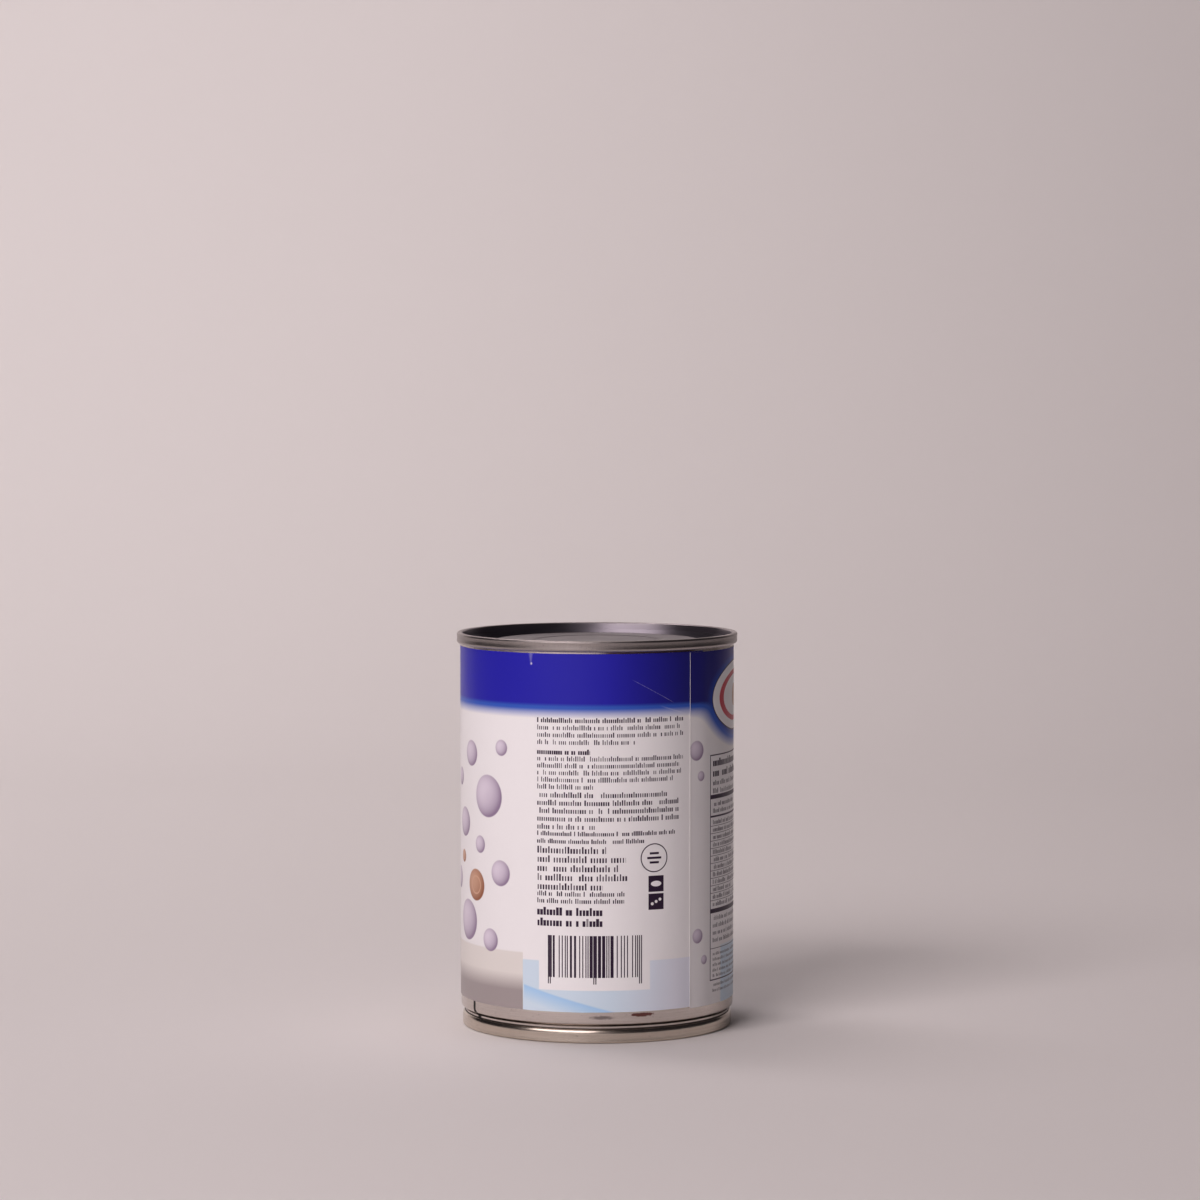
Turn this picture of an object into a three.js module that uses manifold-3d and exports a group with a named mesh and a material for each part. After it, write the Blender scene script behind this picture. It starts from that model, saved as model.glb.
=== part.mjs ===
// An evaporated milk can of the 73 mm size, about 400 g, shut: a tinplate body necked in at its foot, two
// double-seamed ends and a paper label that laps over itself.
// Millimetres, +Z up. The origin is the centre of the ring that the can stands on. Angles go round from
// the front, -Y, towards +X.
import * as THREE from "three";
import { mergeVertices } from "three/addons/utils/BufferGeometryUtils.js";
import Module from "manifold-3d";

const wasm = await Module();
wasm.setup();

// The whole can.
const CAN_HEIGHT = 105.3;
const BODY_RADIUS = 36.5;
const SHEET = 0.2; // tinplate
const FIT_GAP = 0.06; // left between pieces that touch
const SEGMENTS = 72; // round the can, the same for every turned piece, so that the facets lie parallel

// The neck at the foot, which lets the can stand in the top seam of another.
const NECK_RADIUS = 35.42;
const NECK_TOP = 4.05;
const SHOULDER_TOP = 5.5;
const SHOULDER_STEPS = 5;

// The double seams, where an end is folded round the rim of the body.
const TOP = { seamRadius: 37.6, seamHeight: 3.0, rimRadius: BODY_RADIUS };
const FOOT = { seamRadius: 36.12, seamHeight: 3.6, rimRadius: NECK_RADIUS };
const CROWN_ROUND = 0.34; // the rounding of the crown, as a share of the seam's width
const HOOK_ROUND = 0.8; // how far up the seam's other edge is rolled in to the wall
const ROUND_STEPS = 3;
const RIM_IN_SEAM = 2.1; // how far the rim of the body goes into the seam

// The sunk panel of an end. Depths count from the crown, and shares are of the chuck wall's radius.
const SINK_DEPTH = 4.4; // the groove at the foot of the chuck wall
const CHUCK_TAPER = 0.55; // how much the chuck wall narrows on the way down
const SINK_WIDTH = 1.6;
const LEDGE_DEPTH = 3.1; // between the groove and the raised centre
const LEDGE_SHARE = 0.92;
const STEP_WIDTH = 1.3;
const PANEL_DEPTH = 2.15; // the raised centre
const PANEL_SHARE = 0.75;
const BEAD_DEPTH = 0.35; // a shallow ring pressed into the raised centre
const BEAD_SHARE = 0.46;
const BEAD_WIDTH = 2.6;
const SLOPE_STEPS = 3;

// The paper label.
const LABEL_THICKNESS = 0.1;
const LABEL_BOTTOM = 7.9; // at its outer edge
const LABEL_TOP = 101.6;
const LABEL_CLIMB = 0.35; // it is wound on a little askew, so it climbs this much on the way round
const LAP_EDGE_ANGLE = 41.4; // its outer edge
const LAP_ANGLE = 8; // how far the inner end goes on under the outer one
const LAP_SETTLE_ANGLE = 6; // how far past that the outer layer takes to lie down again
const LABEL_STEPS = 74;

// The weld down the side of the body, which shows on the foot.
const WELD_ANGLE = -63;
const WELD_WIDTH = 0.5;
const WELD_HEIGHT = 0.05;
const WELD_DEPTH = 0.1;
const WELD_TOP = 7.7;

const point = (radius, height) => new THREE.Vector2(radius, height);

// A slope from one point to another that starts and ends level, without its first point.
function slope(from, to, steps) {
  return Array.from({ length: steps }, (_, i) => {
    const along = (i + 1) / steps;
    const risen = (1 - Math.cos(Math.PI * along)) / 2;
    return point(from.x + (to.x - from.x) * along, from.y + (to.y - from.y) * risen);
  });
}

// A round edge about a centre, with its own width and height, from one angle to another in degrees.
function roundEdge(centre, width, height, fromDegrees, toDegrees) {
  return Array.from({ length: ROUND_STEPS + 1 }, (_, i) => {
    const turned = fromDegrees + ((toDegrees - fromDegrees) * i) / ROUND_STEPS;
    const angle = THREE.MathUtils.degToRad(turned);
    return point(centre.x + width * Math.cos(angle), centre.y + height * Math.sin(angle));
  });
}

// The radius of the chuck wall, which lies inside the rim of the body.
const chuckWall = (rimRadius) => rimRadius - 2 * SHEET - FIT_GAP;

// The corner points of the panel, from the axis outwards, without its bead.
function panelCorners(rimRadius) {
  const wall = chuckWall(rimRadius);
  const sinkOuter = wall - CHUCK_TAPER;
  return {
    panel: point(wall * PANEL_SHARE, -PANEL_DEPTH),
    step: point(wall * PANEL_SHARE + STEP_WIDTH, -LEDGE_DEPTH),
    ledge: point(wall * LEDGE_SHARE, -LEDGE_DEPTH),
    sink: point(sinkOuter - SINK_WIDTH / 2, -SINK_DEPTH),
    sinkOuter: point(sinkOuter, -SINK_DEPTH + SHEET),
  };
}

// The face of an end that shows, from the axis outwards to the foot of its chuck wall.
function panelFace(rimRadius) {
  const { panel, step, ledge, sink, sinkOuter } = panelCorners(rimRadius);
  const beadMiddle = panel.x * (BEAD_SHARE / PANEL_SHARE);
  const bead = [-1, 0, 1].map((side) => {
    const depth = side === 0 ? BEAD_DEPTH : 0;
    return point(beadMiddle + (side * BEAD_WIDTH) / 2, -PANEL_DEPTH - depth);
  });
  return [
    point(0, -PANEL_DEPTH),
    ...bead,
    panel,
    ...slope(panel, step, SLOPE_STEPS),
    ledge,
    ...slope(ledge, sink, SLOPE_STEPS),
    sinkOuter,
  ];
}

// The hidden face of an end, from the groove inwards to the axis, moved down by a thickness.
function panelBack(rimRadius, thickness) {
  const { panel, step, ledge, sink } = panelCorners(rimRadius);
  const flat = point(0, -PANEL_DEPTH - BEAD_DEPTH);
  const edge = point(panel.x, flat.y);
  return [sink, ledge, step, edge, flat].map((p) => point(p.x, p.y - thickness));
}

// The section of an end: its face, the crown of the seam, its rolled edge, the slot that takes the rim of
// the body, and the back of the sheet. It starts and ends on the axis, and its heights count from the crown.
function endSection({ seamRadius, seamHeight, rimRadius }) {
  const wall = chuckWall(rimRadius);
  const crown = (seamRadius - wall) * CROWN_ROUND;
  const slotOuter = rimRadius + FIT_GAP;
  const slotInner = rimRadius - SHEET - FIT_GAP;
  const slotEnd = -seamHeight + RIM_IN_SEAM + FIT_GAP;
  const rolled = point(slotOuter, -seamHeight + HOOK_ROUND);
  return [
    ...panelFace(rimRadius),
    ...roundEdge(point(wall + crown, -crown), crown, crown, 180, 90),
    ...roundEdge(point(seamRadius - crown, -crown), crown, crown, 90, 0),
    ...roundEdge(rolled, seamRadius - slotOuter, HOOK_ROUND, 0, -90),
    point(slotOuter, slotEnd),
    point(slotInner, slotEnd),
    ...panelBack(rimRadius, SHEET),
  ];
}

// A section of radii and heights turned round the axis, with its faces outwards.
function turned(section) {
  const outward = THREE.ShapeUtils.area(section) > 0 ? section : [...section].reverse();
  return new THREE.LatheGeometry(outward, SEGMENTS).rotateX(Math.PI / 2);
}

function topEndGeometry() {
  return turned(endSection(TOP).map((p) => point(p.x, CAN_HEIGHT + p.y)));
}

function bottomEndGeometry() {
  return turned(endSection(FOOT).map((p) => point(p.x, -p.y)));
}

// The outside of the foot: the top of the neck, then the S-shaped shoulder that widens to the straight wall.
function footOutline() {
  const rise = SHOULDER_TOP - NECK_TOP;
  const shoulder = slope(point(0, NECK_RADIUS), point(rise, BODY_RADIUS), SHOULDER_STEPS);
  return [point(NECK_RADIUS, NECK_TOP), ...shoulder.map((p) => point(p.y, NECK_TOP + p.x))];
}

// The body with what fills it: at both ends the face that backs the end, and the rim that goes into the seam.
function bodySection() {
  const backed = SHEET + FIT_GAP;
  const rimTop = CAN_HEIGHT - TOP.seamHeight + RIM_IN_SEAM;
  const rimBottom = FOOT.seamHeight - RIM_IN_SEAM;
  const topBack = panelBack(BODY_RADIUS, backed).map((p) => point(p.x, CAN_HEIGHT + p.y));
  const bottomBack = panelBack(NECK_RADIUS, backed).map((p) => point(p.x, -p.y));
  return [
    ...bottomBack.reverse(),
    point(NECK_RADIUS - SHEET, SINK_DEPTH + backed),
    point(NECK_RADIUS - SHEET, rimBottom),
    point(NECK_RADIUS, rimBottom),
    ...footOutline(),
    point(BODY_RADIUS, rimTop),
    point(BODY_RADIUS - SHEET, rimTop),
    point(BODY_RADIUS - SHEET, CAN_HEIGHT - SINK_DEPTH - backed),
    ...topBack,
  ];
}

// The weld: a narrow ridge that follows the neck and the shoulder, sunk a little into the wall.
function weldGeometry() {
  const wall = [
    point(NECK_RADIUS, FOOT.seamHeight + FIT_GAP),
    ...footOutline(),
    point(BODY_RADIUS, WELD_TOP),
  ];
  const proud = wall.map((p) => point(p.x + WELD_HEIGHT, p.y));
  const sunk = wall.map((p) => point(p.x - WELD_DEPTH, p.y)).reverse();
  const ridge = new THREE.ExtrudeGeometry(new THREE.Shape([...proud, ...sunk]), {
    depth: WELD_WIDTH,
    bevelEnabled: false,
  });
  ridge.translate(0, 0, -WELD_WIDTH / 2);
  ridge.rotateX(Math.PI / 2);
  return ridge.rotateZ(THREE.MathUtils.degToRad(WELD_ANGLE - 90));
}

// A closed geometry as a manifold solid.
function solidOf(geometry) {
  const bare = new THREE.BufferGeometry();
  bare.setAttribute("position", geometry.getAttribute("position"));
  bare.setIndex(geometry.index);
  const merged = mergeVertices(bare);
  const vertProperties = merged.getAttribute("position").array;
  const triVerts = new Uint32Array(merged.index.array);
  return new wasm.Manifold(new wasm.Mesh({ numProp: 3, vertProperties, triVerts }));
}

function bodyGeometry() {
  const joined = solidOf(turned(bodySection())).add(solidOf(weldGeometry())).getMesh();
  const geometry = new THREE.BufferGeometry();
  geometry.setAttribute("position", new THREE.BufferAttribute(joined.vertProperties, 3));
  geometry.setIndex(new THREE.BufferAttribute(joined.triVerts, 1));
  geometry.computeVertexNormals();
  return geometry;
}

// The radius of the label's inner face, some degrees after its outer edge: over the lap it lies on the
// inner end, and then it settles on the body.
function labelRadius(degrees) {
  const lying = BODY_RADIUS + FIT_GAP;
  const lift = LABEL_THICKNESS + FIT_GAP;
  const settled = THREE.MathUtils.smoothstep(degrees, LAP_ANGLE, LAP_ANGLE + LAP_SETTLE_ANGLE);
  return lying + lift * (1 - settled);
}

// The label: a long flat strip, wound once round the body and a little over itself.
function labelGeometry() {
  const wound = 360 + LAP_ANGLE;
  const strip = new THREE.BoxGeometry(wound, LABEL_THICKNESS, LABEL_TOP - LABEL_BOTTOM, LABEL_STEPS, 1, 1);
  strip.translate(wound / 2, -LABEL_THICKNESS / 2, (LABEL_TOP + LABEL_BOTTOM) / 2);
  const position = strip.getAttribute("position");
  for (let i = 0; i < position.count; i++) {
    const degrees = position.getX(i);
    const radius = labelRadius(degrees) - position.getY(i);
    const angle = THREE.MathUtils.degToRad(LAP_EDGE_ANGLE + degrees);
    const height = position.getZ(i) + (LABEL_CLIMB * degrees) / 360;
    position.setXYZ(i, radius * Math.sin(angle), -radius * Math.cos(angle), height);
  }
  strip.computeVertexNormals();
  return strip;
}

const bodyMetal = new THREE.MeshStandardMaterial({ color: 0xa89f97, roughness: 0.35, metalness: 1 });
const lidMetal = new THREE.MeshStandardMaterial({ color: 0x8f8a8d, roughness: 0.3, metalness: 1 });
const paper = new THREE.MeshStandardMaterial({ color: 0xdcd6db, roughness: 0.35, metalness: 0 });

const can = new THREE.Group();
for (const [name, geometry, material] of [
  ["can_body", bodyGeometry(), bodyMetal],
  ["top_end", topEndGeometry(), lidMetal],
  ["bottom_end", bottomEndGeometry(), lidMetal],
  ["label", labelGeometry(), paper],
]) {
  const piece = new THREE.Mesh(geometry, material);
  piece.name = name;
  can.add(piece);
}

export default can;
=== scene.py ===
# The looks of a shut evaporated milk can: tinplate body and ends, and a printed paper label.
# Sizes are in millimetres until a mesh is made, and then in metres. Angles are in degrees and go round
# from the front, -Y, towards +X, as in the frame.
import math
import random
from collections import namedtuple

import bpy
import numpy as np
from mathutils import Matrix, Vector


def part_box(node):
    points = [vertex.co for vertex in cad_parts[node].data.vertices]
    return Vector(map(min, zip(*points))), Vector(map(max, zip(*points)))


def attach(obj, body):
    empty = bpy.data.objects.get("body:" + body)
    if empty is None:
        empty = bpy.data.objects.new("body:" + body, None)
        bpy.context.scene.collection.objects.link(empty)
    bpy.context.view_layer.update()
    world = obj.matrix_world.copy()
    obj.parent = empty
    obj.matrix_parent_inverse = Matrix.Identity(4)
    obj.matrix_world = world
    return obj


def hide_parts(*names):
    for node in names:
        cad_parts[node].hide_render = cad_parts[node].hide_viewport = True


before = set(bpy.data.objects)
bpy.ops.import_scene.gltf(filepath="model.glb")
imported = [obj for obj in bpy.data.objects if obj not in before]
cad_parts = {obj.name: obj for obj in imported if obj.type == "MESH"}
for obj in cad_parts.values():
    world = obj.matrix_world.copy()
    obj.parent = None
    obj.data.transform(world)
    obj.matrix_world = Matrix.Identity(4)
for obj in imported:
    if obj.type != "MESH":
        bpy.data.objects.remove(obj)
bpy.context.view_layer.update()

MM = 0.001


def outer_radius(node):
    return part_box(node)[1].x / MM


def highest(node):
    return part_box(node)[1].z / MM


# The can, measured on the frame
BODY_RADIUS = outer_radius("can_body")
TOP_SEAM_RADIUS = outer_radius("top_end")
FOOT_SEAM_RADIUS = outer_radius("bottom_end")
CAN_HEIGHT = highest("top_end")
SHEET = 0.2
FIT_GAP = 0.06

# The neck and shoulder of the foot
NECK_RADIUS = 35.42
NECK_TOP = 4.05
SHOULDER_TOP = 5.5

# The double seams
TOP_SEAM_HEIGHT = 3.0
FOOT_SEAM_HEIGHT = 3.6
RIM_IN_SEAM = 2.1
CROWN_SHARE = 0.34
TOP_HOOK_ROUND = 0.8
FOOT_HOOK_ROUND = 1.3
SEAM_FLUTE = 0.05

# The sunk panel of an end: depths from the crown, and shares of the chuck wall's radius
SINK_DEPTH = 4.4
CHUCK_TAPER = 0.55
SINK_WIDTH = 1.6
LEDGE_DEPTH = 3.1
LEDGE_SHARE = 0.92
STEP_WIDTH = 1.3
PANEL_DEPTH = 2.15
PANEL_SHARE = 0.75
BEAD_DEPTH = 0.35
BEAD_SHARE = 0.46
BEAD_WIDTH = 2.6
SOFT_CORNER = 0.3

# The label
LABEL_THICKNESS = 0.1
LABEL_BOTTOM = 7.9
LABEL_TOP = 101.6
LABEL_CLIMB = 0.35
LAP_EDGE_ANGLE = 41.4
LAP_ANGLE = 8
LAP_SETTLE_ANGLE = 6
LAP_LIFT = 0.1
LAP_LIFT_ANGLE = 1.2
LABEL_RADIUS = 36.6
ARC_PER_DEGREE = math.radians(1) * LABEL_RADIUS

# The weld
WELD_ANGLE = -63
WELD_WIDTH = 0.5
WELD_HEIGHT = 0.05

# Colours, linear
INK = (0.035, 0.018, 0.045)
PAPER = (0.85, 0.84, 0.85)
DARK_BLUE = (0.026, 0.022, 0.4)
# Painted shade: the dark blue deepened where it turns away from the light
SHADED_BLUE = (0.02, 0.018, 0.2)
BRIGHT_BLUE = (0.018, 0.1, 0.5)
PALE_BLUE = (0.63, 0.745, 0.85)
LAVENDER_WHITE = (0.76, 0.775, 0.86)
WEDGE_BLUE = (0.4, 0.62, 0.87)
GROUND_LIGHT = (0.74, 0.71, 0.68)
GROUND_DARK = (0.37, 0.33, 0.33)
LAVENDER_LIGHT = (0.76, 0.7, 0.79)
LAVENDER_DARK = (0.3, 0.23, 0.34)
CARAMEL = (0.3, 0.12, 0.065)
CARAMEL_LIGHT = (0.62, 0.39, 0.28)
RED = (0.55, 0.06, 0.09)
# Tin: the plain tone of each piece and the darker one of its streaks
BODY_TIN = (0.78, 0.725, 0.69)
BODY_TIN_STREAK = (0.6, 0.54, 0.5)
FOOT_TIN = (0.77, 0.7, 0.62)
FOOT_TIN_STREAK = (0.58, 0.51, 0.44)
LID_TIN = (0.51, 0.47, 0.455)
LID_TIN_STREAK = (0.4, 0.365, 0.35)
LID_GRAIN = (0.3, 0.28, 0.3)
# Painted shade: a darker, bluer chuck wall, which dims its reflections
CHUCK_WALL_SHADE = (0.33, 0.305, 0.355)
# Painted shade: a near-black lid panel, which dims its reflections
LID_PANEL_SHADE = (0.12, 0.11, 0.11)
# What lies on the tin, and the shade and shadow painted on it
# Painted shade in the crevice between the neck and the foot's seam
CREVICE_SHADE = (0.035, 0.026, 0.02)
# Painted shade on the right end of the foot, turned away from the key light
SHADED_SIDE = (0.1, 0.07, 0.05)
# Painted shade on the shoulder over the neck, which hides its highlight
SHOULDER_SHADE = (0.13, 0.09, 0.07)
RUST = (0.16, 0.045, 0.04)
SMEAR = (0.16, 0.14, 0.14)
# Painted shadow on the bare strip under the lid's seam, at the front
SEAM_SHADOW = (0.1, 0.03, 0.025)
WELD = (0.018, 0.014, 0.014)
SPECK = (0.12, 0.1, 0.09)


# Outlines

def arc(centre, width, height, start, end, steps=8):
    """Points of an ellipse about a centre, from one angle to another."""
    angles = np.radians(np.linspace(start, end, steps + 1))
    return [(centre[0] + width * math.cos(a), centre[1] + height * math.sin(a)) for a in angles]


def slope(start, end, steps=10):
    """An S-shaped way from one point to another, level at both ends, without its first point."""
    shares = np.linspace(0, 1, steps + 1)[1:]
    risen = (1 - np.cos(np.pi * shares)) / 2
    return [
        (start[0] + (end[0] - start[0]) * s, start[1] + (end[1] - start[1]) * r)
        for s, r in zip(shares, risen)
    ]


def rounded(points, radius=SOFT_CORNER, steps=5):
    """The outline with its inner corners turned into small curves."""
    places = [np.array(p, float) for p in points]
    outline = [places[0]]
    for before, corner, after in zip(places, places[1:], places[2:]):
        to_before, to_after = before - corner, after - corner
        cut = min(radius, 0.45 * np.linalg.norm(to_before), 0.45 * np.linalg.norm(to_after))
        start = corner + to_before / np.linalg.norm(to_before) * cut
        end = corner + to_after / np.linalg.norm(to_after) * cut
        for share in np.linspace(0, 1, steps):
            low, high = start + (corner - start) * share, corner + (end - corner) * share
            outline.append(low + (high - low) * share)
    outline.append(places[-1])
    return outline


def supported(points, gap=0.05):
    """The outline with a point near each end of its long straight parts. Smoothed, they then stay flat."""
    outline = [points[0]]
    for before, after in zip(points, points[1:]):
        start, end = np.array(before, float), np.array(after, float)
        length = np.linalg.norm(end - start)
        if length > 6 * gap:
            along = (end - start) * gap / length
            outline += [start + along, end - along]
        outline.append(after)
    return outline


def ripple(seed, orders, angles):
    """A wavy line round the can, from -1 to 1, from a few waves with a seeded start."""
    draw = random.Random(seed)
    waves = [draw.uniform(0.5, 1) * np.sin(k * angles + draw.uniform(0, 2 * math.pi)) for k in orders]
    return sum(waves) / len(orders)


# Meshes

def mesh_object(name, places, faces, maps, material):
    """An object from places in millimetres, with a map position for each corner of each face."""
    mesh = bpy.data.meshes.new(name)
    mesh.from_pydata([tuple(MM * x for x in p) for p in places], [], faces)
    layer = mesh.uv_layers.new(name="OFBake")
    flat = np.concatenate([np.asarray(face, np.float32) for face in maps])
    layer.uv.foreach_set("vector", flat.ravel())
    mesh.materials.append(material)
    mesh.shade_smooth()
    mesh.set_sharp_from_angle(angle=math.radians(38))
    piece = bpy.data.objects.new(name, mesh)
    bpy.context.scene.collection.objects.link(piece)
    return piece


def shares_along(points, hidden_from=None):
    """How far along an outline each point is, from 0 to 1. What is hidden counts little."""
    lengths = np.linalg.norm(np.diff(np.array(points), axis=0), axis=1)
    if hidden_from is not None:
        lengths[hidden_from:] *= 0.1
    return np.concatenate([[0], np.cumsum(lengths)]) / lengths.sum()


def turned_piece(name, section, angles, shape, material, hidden_from=None):
    """A closed section, from the axis to the axis, turned round. shape moves its points a little."""
    section = np.array(section, float)
    radii, levels = shape(np.radians(angles)[None, :], section[1:-1, :1], section[1:-1, 1:])
    turn = np.radians(angles)[None, :]
    rings = np.stack([radii * np.sin(turn), -radii * np.cos(turn), levels + 0 * turn], 2)
    count, columns = rings.shape[:2]
    places = [(0, 0, section[0, 1]), *rings.reshape(-1, 3), (0, 0, section[-1, 1])]
    last = len(places) - 1
    along = shares_along(section, hidden_from)
    edges = np.append(angles - angles[0], 360) / 360
    faces, maps = [], []
    for j in range(columns):
        k = (j + 1) % columns
        u, w = edges[j], edges[j + 1]
        faces.append((0, 1 + j, 1 + k))
        maps.append(((u, along[0]), (u, along[1]), (w, along[1])))
        for i in range(count - 1):
            low, high = 1 + i * columns, 1 + (i + 1) * columns
            faces.append((low + j, high + j, high + k, low + k))
            v, x = along[i + 1], along[i + 2]
            maps.append(((u, v), (u, x), (w, x), (w, v)))
        end = 1 + (count - 1) * columns
        faces.append((end + j, last, end + k))
        maps.append(((u, along[-2]), (u, along[-1]), (w, along[-2])))
    return mesh_object(name, places, faces, maps, material)


def round_angles(extra=()):
    """Angles all round the can, with more of them where something narrow is."""
    return np.array(sorted({*np.arange(-180, 180, 1.25), *extra}))


# The two ends

def end_section(seam_radius, seam_height, rim_radius, hook_round):
    """The section of an end, from the axis outwards on its face, and where its hidden part starts."""
    wall = rim_radius - 2 * SHEET - FIT_GAP
    crown = (seam_radius - wall) * CROWN_SHARE
    panel = (wall * PANEL_SHARE, -PANEL_DEPTH)
    step = (wall * PANEL_SHARE + STEP_WIDTH, -LEDGE_DEPTH)
    ledge = (wall * LEDGE_SHARE, -LEDGE_DEPTH)
    sink_outer = wall - CHUCK_TAPER
    sink = (sink_outer - SINK_WIDTH / 2, -SINK_DEPTH)
    bead = wall * BEAD_SHARE
    bead_low = (bead, -PANEL_DEPTH - BEAD_DEPTH)
    bead_start = (bead - BEAD_WIDTH / 2, -PANEL_DEPTH)
    bead_end = (bead + BEAD_WIDTH / 2, -PANEL_DEPTH)
    face = [(0, -PANEL_DEPTH), bead_start, *slope(bead_start, bead_low), *slope(bead_low, bead_end)]
    face += [panel, *slope(panel, step), ledge, *slope(ledge, sink)]
    face += [(sink_outer - 0.25, -SINK_DEPTH + 0.05), (sink_outer, -SINK_DEPTH + 0.3)]
    face += arc((wall + crown, -crown), crown, crown, 180, 90)
    face += arc((seam_radius - crown, -crown), crown, crown, 90, 0)
    slot_outer, slot_inner = rim_radius + FIT_GAP, rim_radius - SHEET - FIT_GAP
    flat_top, flat_bottom = -crown, -seam_height + hook_round
    for share in (0.2, 0.35, 0.5, 0.65, 0.8):
        depth = SEAM_FLUTE * math.sin(math.pi * share)
        face.append((seam_radius - depth, flat_top + (flat_bottom - flat_top) * share))
    face += arc((slot_outer, flat_bottom), seam_radius - slot_outer, hook_round, 0, -90)
    shown = supported(rounded(face, 0.12, 3))
    slot_end = -seam_height + RIM_IN_SEAM + FIT_GAP
    back = [sink, ledge, step, (panel[0], bead_low[1]), (0, bead_low[1])]
    hidden = [(slot_outer, slot_end), (slot_inner, slot_end), *((r, z - SHEET) for r, z in back)]
    return [*shown, *hidden], len(shown) - 1


def uneven_end(seed, crown_level, wall_radius):
    """How an end departs from a true round: rolled waves in its seam and wall, and a soft panel."""

    def shape(turn, radius, level):
        depth = np.abs(level - crown_level)
        near_wall = np.exp(-(((radius - wall_radius) / 1.6) ** 2))
        inside = np.clip(1 - radius / wall_radius, 0, 1)
        waves = 0.035 * ripple(seed, (2, 3, 5, 8), turn) + 0.012 * ripple(seed + 1, (17, 23, 31), turn)
        lift = 0.02 * ripple(seed + 2, (3, 7, 19, 37), turn) * np.clip(1 - depth / 2, 0, 1)
        sag = 0.12 * inside * ripple(seed + 3, (1, 2, 3), turn) * np.clip(radius / wall_radius, 0, 1)
        return radius + near_wall * waves, level + near_wall * lift + sag

    return shape


def end_piece(name, node, seam_radius, seam_height, rim_radius, material, upright):
    hook_round = TOP_HOOK_ROUND if upright else FOOT_HOOK_ROUND
    section, hidden_from = end_section(seam_radius, seam_height, rim_radius, hook_round)
    if upright:
        placed = [(r, CAN_HEIGHT + z) for r, z in section]
    else:
        placed = [(r, -z) for r, z in section]
    crown_level = CAN_HEIGHT if upright else 0
    shape = uneven_end(len(name), crown_level, rim_radius)
    piece = turned_piece(name, placed, round_angles(), shape, material, hidden_from)
    if not upright:
        piece.data.flip_normals()
    return dress(piece, node)


def dress(piece, node):
    """Lets a piece stand for a node of the frame."""
    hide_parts(node)
    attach(piece, "root")
    return piece


# The body

def body_section():
    """The section of the body, from the axis at the top outwards and down to the axis at the foot."""
    top_face = CAN_HEIGHT - SINK_DEPTH - SHEET - FIT_GAP
    foot_face = SINK_DEPTH + SHEET + FIT_GAP
    rim_top = CAN_HEIGHT - TOP_SEAM_HEIGHT + RIM_IN_SEAM
    rim_bottom = FOOT_SEAM_HEIGHT - RIM_IN_SEAM
    neck = (NECK_RADIUS, NECK_TOP)
    shoulder_foot = (NECK_TOP, NECK_RADIUS)
    shoulder_head = (SHOULDER_TOP, BODY_RADIUS)
    shoulder = [(r, z) for z, r in slope(shoulder_foot, shoulder_head, 14)]
    wall = [(BODY_RADIUS, z) for z in (rim_top, LABEL_TOP - 1, 54, LABEL_BOTTOM + 1, 6.6)]
    outside = supported([*wall, *reversed(shoulder), neck, (NECK_RADIUS, rim_bottom)])
    inner = BODY_RADIUS - SHEET
    neck_inner = NECK_RADIUS - SHEET
    return [
        (0, top_face),
        (inner, top_face),
        (inner, rim_top),
        *outside,
        (neck_inner, rim_bottom),
        (neck_inner, foot_face),
        (0, foot_face),
    ]


def uneven_body(turn, radius, level):
    """The weld's ridge, and the slight waves that rolling and handling leave in the wall and shoulder."""
    outside = radius > NECK_RADIUS - SHEET / 2
    off = np.degrees(turn) - WELD_ANGLE
    half = math.degrees(WELD_WIDTH / 2 / BODY_RADIUS)
    ridge = WELD_HEIGHT * np.clip(1.6 - np.abs(off) / half, 0, 1)
    shown = np.clip((9 - level) / 3, 0, 1)
    waves = -0.02 * (1 + ripple(11, (3, 5, 9, 14), turn)) * shown
    lift = 0.05 * ripple(12, (4, 7, 13, 22), turn) * np.clip(1 - np.abs(level - 4.8) / 1.6, 0, 1)
    return radius + outside * (ridge + waves), level + lift * outside


def body_piece(material):
    half = math.degrees(WELD_WIDTH / 2 / BODY_RADIUS)
    near_weld = [WELD_ANGLE + half * share for share in (-1.7, -1.3, -0.9, -0.3, 0.3, 0.9, 1.3, 1.7)]
    section = body_section()
    piece = turned_piece("tin_body", section, round_angles(near_weld), uneven_body, material)
    return dress(piece, "can_body")


# The label

def label_inner_radius(turned):
    """The radius of the label's inner face, some degrees after its outer edge."""
    share = np.clip((turned - LAP_ANGLE) / LAP_SETTLE_ANGLE, 0, 1)
    settled = share * share * (3 - 2 * share)
    lift = LAP_LIFT * np.clip(1 - turned / LAP_LIFT_ANGLE, 0, 1) ** 2
    return BODY_RADIUS + FIT_GAP + (LABEL_THICKNESS + FIT_GAP) * (1 - settled) + lift


# The items of the print: bars and rows of strokes, in millimetres. u goes along the strip, 0 at the front,
# and z goes up. An item with weight 1 is a solid bar, and a lighter one is a row of short upright strokes.

Item = namedtuple("Item", "left right bottom top weight seed")
# The part of the label that a list of items has to itself
Panel = namedtuple("Panel", "left right items")
SOLID = 1.0
TEXT_LEFT = -16.15


def stroke_rows(left, blocks, seed):
    """Rows of strokes as stand-ins for small print, each row of its own length."""
    draw = random.Random(seed)
    rows = []
    for top, pitch, height, count, weight, right, ragged in blocks:
        for i in range(count):
            end = right - ragged * (right - left) * draw.random()
            head = top - i * pitch
            rows.append(Item(left, end, head - height, head, weight, draw.randint(1, 9000)))
    return rows


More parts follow.
